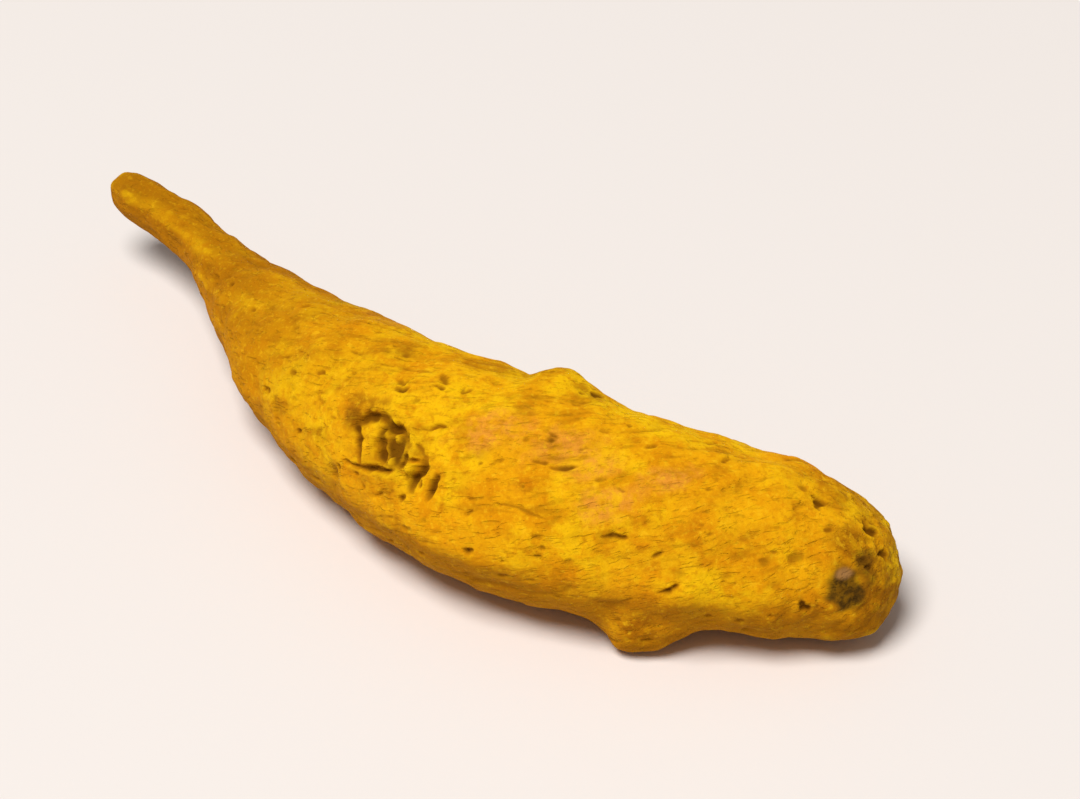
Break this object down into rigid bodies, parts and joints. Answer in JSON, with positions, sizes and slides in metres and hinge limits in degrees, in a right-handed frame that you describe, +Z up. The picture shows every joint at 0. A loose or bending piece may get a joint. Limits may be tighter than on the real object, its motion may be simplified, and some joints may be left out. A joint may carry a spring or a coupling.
{
  "type": "turmeric root",
  "caption": "Dried turmeric finger: one curved, knobbly rhizome with a thin tail, a blunt end, leaf-scar rings and bud scars, lying on its belly.",
  "frame": {"origin": "under the middle of the finger's box, on the surface that it lies on", "axes": "+X along the finger from its thin tail to its blunt end, +Y towards the hollow side of its bend, +Z up"},
  "size_m": [0.0682, 0.0206, 0.0141],
  "materials": {
    "turmeric_skin": "dry, matt, powdery yellow skin"
  },
  "bodies": {
    "root": {"turmeric_finger": "turmeric_skin"}
  },
  "joints": []
}
